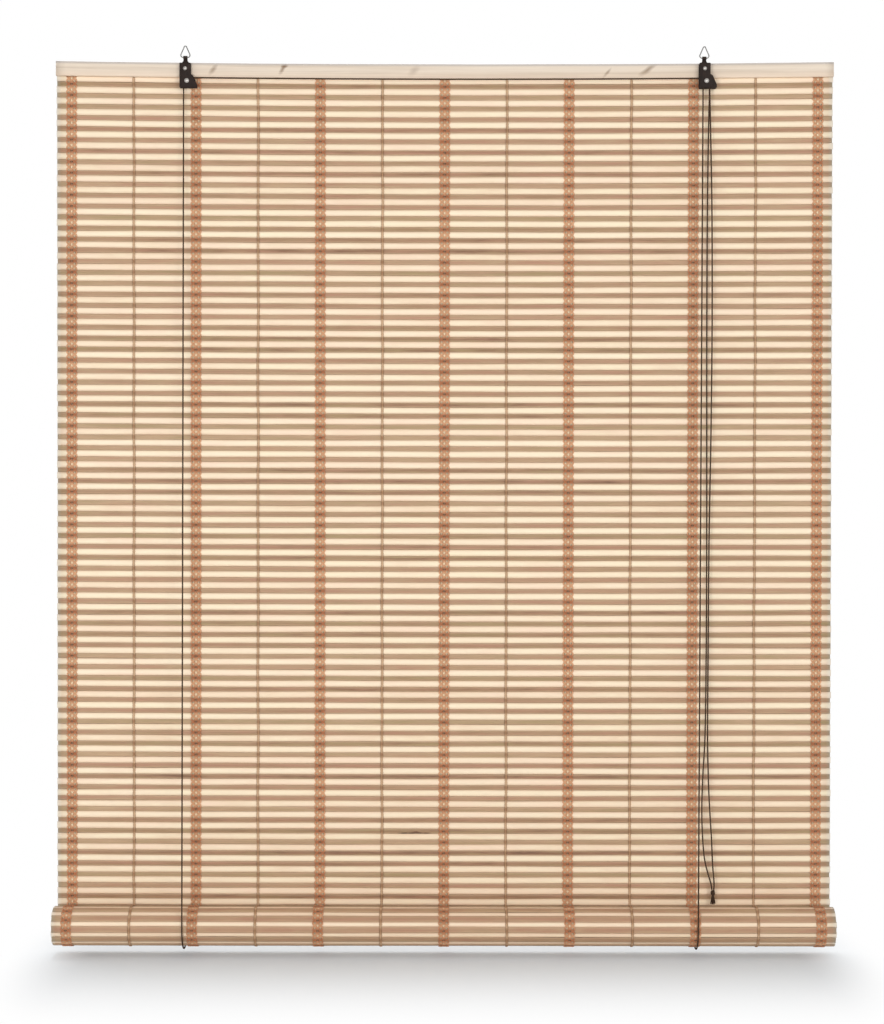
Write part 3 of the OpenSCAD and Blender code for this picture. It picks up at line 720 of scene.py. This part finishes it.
BRAID_SWING = 9.4 * MM
BRAID_NODE = SLAT_STEP / 2
STRANDS = 4
STRAND_RISE, STRAND_HALF_T, STRAND_TURN = 0.26 * MM, 0.25 * MM, 0.97
PAIR_OFFSETS, PAIR_HALF_W = (-1.1 * MM, 1.1 * MM), 0.82 * MM
SINGLE_OFFSETS, SINGLE_HALF_W = (0.0,), 2.0 * MM
# Straight filler threads under a braid's gaps; over dark slats their colour is painted shade
FILLER_X, FILLER_HIGH = (-4.7 * MM, 0.0, 4.7 * MM), 0.02 * MM
FILLER_HALF_W, FILLER_HALF_T = 2.3 * MM, 0.16 * MM
PLY_LAY, PLY_RISE, PLY_HALF_T = 9 * MM, 0.12 * MM, 0.33 * MM
ROLL_WARP_FROM, ROLL_WARP_TO = math.radians(4), math.radians(330)
# Height of a strand at each of the nodes of its zigzag
OVER_UNDER = np.array([0, -1, 1, -1, 0, 1, -1, 1, 0])


def row_dark(rows):
    """About 1 where a thread on the mat's front crosses a dark slat, 0 on a pale one."""
    place = rows / SLAT_STEP / 2 % 1
    return np.clip(1.5 - np.abs(place - 0.25) / 0.13 * 0.65, 0, 1) * 0.9


class Lay:
    """A warp's run: where a point lies that is s along it, x across it and h off the slats, how much of the
    rows of slats has passed there, and how dark the slat is under it."""

    def __init__(self, x, place, rows, over_dark):
        self.x, self.place, self.rows, self.over_dark = x, place, rows, over_dark

    def points(self, s, across, high):
        y, z = self.place(s, high)
        return np.stack(np.broadcast_arrays(self.x + across, y, z), axis=-1)


def flat_lay(x, top, front):
    """The run down the mat's front or back, from the height top."""
    face, out = (MAT_FRONT, -1) if front else (MAT_BACK, 1)

    def place(s, high):
        return face + out * (WARP_OFF + high) + 0 * s, top - s

    def rows(s):
        return MAT_TOP + row_bow(top - s) * (x / HALF_W) ** 2 - (top - s)

    def over_dark(s):
        return row_dark(rows(s)) if front else 1 - row_dark(rows(s))
    return Lay(x, place, rows, over_dark)


def roll_lay(x, start):
    """The run round the roll, from an angle."""
    def place(s, high):
        angle = start + s / ROLL_R
        r = coil_r(angle) + WARP_OFF + high
        return ROLL_Y + r * np.cos(angle), ROLL_Z - r * np.sin(angle)

    def rows(s):
        return s + SLAT_STEP

    def over_dark(s):
        return 0.5 - 0.4 * np.cos(2 * math.pi * (rows(s) / SLAT_STEP / 2 + 0.25))
    return Lay(x, place, rows, over_dark)


def flat_thread(builder, lay, s, across, high, half_w, half_t, deep=0.0):
    """A thread of flat diamond section whose line is given along, across and off the slats."""
    slope = np.gradient(across, s)
    lean = 1 / np.sqrt(1 + slope ** 2)
    rings = np.stack([lay.points(s + half_w * slope * lean, across - half_w * lean, high),
                      lay.points(s, across, high + half_t),
                      lay.points(s - half_w * slope * lean, across + half_w * lean, high),
                      lay.points(s, across, high - half_t)], axis=1)
    shade = np.repeat(lay.over_dark(s)[:, None], 4, axis=1)
    builder.sweep(rings, grain=rings, over_dark=shade, deep=np.full(shade.shape, deep))


def braid(builder, lay, start, stop, _seed, front):
    """Strands that zigzag over and under one another, in pairs where they are seen from the front, on
    straight threads under the gaps between them, which carry painted shade in the gaps over dark slats."""
    begin, end = math.floor(start / BRAID_NODE * 2) / 2, math.ceil(stop / BRAID_NODE * 2) / 2
    s = np.clip(np.arange(begin, end + 0.25, 0.5) * BRAID_NODE, start, stop)
    s = s[np.concatenate([[True], np.diff(s) > 1e-6])]
    rows = lay.rows(s)
    offsets, half_w = (PAIR_OFFSETS, PAIR_HALF_W) if front else (SINGLE_OFFSETS, SINGLE_HALF_W)
    for k in range(STRANDS):
        for off in offsets:
            step = ((rows + off) / BRAID_NODE + 2 * k) % 8
            wave = np.sin((step / 8 - 0.25) * 2 * math.pi)
            swing = np.arcsin(STRAND_TURN * wave) / math.asin(STRAND_TURN)
            over = np.interp(step, np.arange(9), OVER_UNDER) * STRAND_RISE
            flat_thread(builder, lay, s, BRAID_SWING * swing, WARP_T / 2 + over, half_w, STRAND_HALF_T)
    # The straight threads have a point at the middle of each slat, where their colour changes
    passed = np.arange(math.ceil(rows[0] / SLAT_STEP - 0.5), rows[-1] / SLAT_STEP - 0.5)
    middles = np.interp((passed + 0.5) * SLAT_STEP, rows, s)
    fine = np.unique(np.concatenate([[s[0]], middles, [s[-1]]]))
    for x in FILLER_X:
        flat_thread(builder, lay, fine, np.full(fine.shape, x), np.full(fine.shape, FILLER_HIGH),
                    FILLER_HALF_W, FILLER_HALF_T, deep=1.0)


def thin_thread(builder, lay, start, stop, seed, front):
    """Two plies twisted round each other in front, and one plain thread behind."""
    plies, spread, half_w, step = (2, 1.2, 1.5, 1.8) if front else (1, 0.0, 2.0, 6.0)
    s = np.arange(start, stop, step * MM)
    s = np.concatenate([s[s < stop - 0.4 * MM], [stop]])
    drift = wander(s, seed, 0.05, 0.7 * MM)
    for k in range(plies):
        turn = 2 * math.pi * s / PLY_LAY + math.pi * k
        flat_thread(builder, lay, s, drift + spread * MM * np.cos(turn),
                    WARP_T / 2 + PLY_RISE * np.sin(turn), half_w * MM, PLY_HALF_T)


def batten_bow(x):
    return BATTEN_BOW * (x / HALF_W) ** 2


def warp_column(name, x, weave, material, seed):
    """A braid or thread: its stretch that stays, the stretch that runs into the roll, and the one on it."""
    top = batten_bow(x) - BATTEN_H / 2 - TOUCH
    for part, start, stop in (("top", 0.0, top - FOLD_Z), ("lower", top - FOLD_Z, top - WARP_END)):
        builder = Builder(f"{name}_{part}")
        for front in (True, False):
            weave(builder, flat_lay(x, top, front), start, stop, seed, front)
        obj = builder.make([material], "head", "warp_thread", [f"mat_{name}"])
        if part == "lower":
            shorten(obj)
    builder = Builder(f"{name}_on_roll")
    weave(builder, roll_lay(x, ROLL_WARP_FROM), 0.0, (ROLL_WARP_TO - ROLL_WARP_FROM) * ROLL_R, seed, True)
    builder.make([material], "roll", "warp_thread", [f"roll_{name}"])


THREAD_SEED = 40
for i, x in enumerate(BRAID_X):
    warp_column(f"braid_{i + 1}", x, braid, THREAD, i)
for i, x in enumerate(THREAD_X):
    warp_column(f"thread_{i + 1}", x, thin_thread, TWINE, THREAD_SEED + i)

# Batten

BATTEN_EASE, BATTEN_WAVE, BATTEN_STEPS = 1.1 * MM, 0.25 * MM, 70


def head_batten():
    """A planed batten with eased edges and the mat's groove along its underside."""
    ease, low, high = BATTEN_EASE, -BATTEN_H / 2, BATTEN_H / 2
    outline = []
    for cy, cz, first in ((-BATTEN_T + ease, low + ease, 270), (-BATTEN_T + ease, high - ease, 180),
                          (-ease, high - ease, 90), (-ease, low + ease, 0)):
        for a in np.radians(first - np.array([0, 22.5, 45, 67.5, 90])):
            outline.append((cy + ease * math.cos(a), cz + ease * math.sin(a)))
    roof = low + GROOVE_DEPTH
    outline += [(GROOVE[0], low), (GROOVE[0], roof), (GROOVE[1], roof), (GROOVE[1], low)]
    x = np.linspace(-HALF_W, HALF_W, BATTEN_STEPS + 1)[:, None]
    along, y, flat_z = np.broadcast_arrays(x, *np.array(outline).T)
    wave = wander(x, 3, 0.12, BATTEN_WAVE) * (np.abs(flat_z) > 10 * MM)
    builder = Builder("head_batten_planed")
    builder.sweep(np.stack([along, y, flat_z + batten_bow(x) + wave], axis=-1),
                  grain=np.stack([along, y, flat_z], axis=-1))
    return builder.make([PINE], "head", "pine", ["head_batten"])


head_batten()

# CAD nodes that keep their shape

PLATE_EASE, PULLEY_EASE = 0.3 * MM, 0.15 * MM


def finish_node(name, material, ease=0.0):
    """Gives a node its material, and eases its edges."""
    obj = cad[name]
    obj.data.materials.clear()
    obj.data.materials.append(material)
    if ease:
        weld = obj.modifiers.new("weld", "WELD")
        weld.merge_threshold = 0.002 * MM
        bevel = obj.modifiers.new("ease", "BEVEL")
        bevel.width, bevel.segments, bevel.limit_method = ease, 2, "ANGLE"
        bevel.angle_limit = math.radians(40)


for side in ("left", "right"):
    for part in ("back_plate", "front_plate", "spacer"):
        finish_node(f"{side}_{part}", BLACK, PLATE_EASE)
    for part in ("screw", "axle"):
        finish_node(f"{side}_{part}", BRIGHT)
    finish_node(f"{side}_ring", WIRE)
for name in ("left_pulley", "right_rear_pulley", "right_front_pulley", "lock_pawl"):
    finish_node(name, BLACK, PULLEY_EASE)
finish_node("pawl_pin", BLACK)
finish_node("mat_brads", BRIGHT)
finish_node("bottom_rod", PINE)

# Stage: floor, lamps and a white world
FLOOR_Z, FLOOR_HALF = -1.588, 6
WORLD_LIGHT = 0.5
floor_mesh = bpy.data.meshes.new("floor")
floor_mesh.from_pydata([(sx * FLOOR_HALF, sy * FLOOR_HALF, FLOOR_Z)
                        for sx, sy in ((-1, -1), (1, -1), (1, 1), (-1, 1))], [], [(0, 1, 2, 3)])
floor_mesh.materials.append(stage_white())
floor = bpy.data.objects.new("floor", floor_mesh)
bpy.context.scene.collection.objects.link(floor)

world = bpy.data.worlds.new("studio")
bpy.context.scene.world = world
world.use_nodes = True
tree = world.node_tree
rays = tree.nodes.new("ShaderNodeLightPath")
seen = rays.outputs["Is Camera Ray"]
for output in ("Is Glossy Ray", "Is Transmission Ray"):
    either = tree.nodes.new("ShaderNodeMath")
    either.operation = "MAXIMUM"
    tree.links.new(seen, either.inputs[0])
    tree.links.new(rays.outputs[output], either.inputs[1])
    seen = either.outputs[0]
strength = tree.nodes.new("ShaderNodeMapRange")
tree.links.new(seen, strength.inputs["Value"])
strength.inputs["To Min"].default_value = WORLD_LIGHT
strength.inputs["To Max"].default_value = 1.0
background = tree.nodes["Background"]
background.inputs["Color"].default_value = (1, 1, 1, 1)
tree.links.new(strength.outputs["Result"], background.inputs["Strength"])


def lamp(name, place, aim, size, power):
    data = bpy.data.lights.new(name, "AREA")
    data.shape, data.size, data.energy = "DISK", size, power
    obj = bpy.data.objects.new(name, data)
    bpy.context.scene.collection.objects.link(obj)
    obj.location = place
    obj.rotation_euler = (Vector(aim) - Vector(place)).to_track_quat("-Z", "Y").to_euler()


lamp("key", (2.4, -6.0, 0.4), (0, 0, -0.8), 3.0, 106)
lamp("low_fill", (-1.4, -4.4, -0.95), (0, 0, -1.2), 1.2, 53)
lamp("top", (-0.6, 1.6, 4.6), (0, 0, -0.8), 3.0, 170)
lamp("back_fill", (1.5, 6.0, -0.2), (0, 0, -0.8), 2.4, 60)
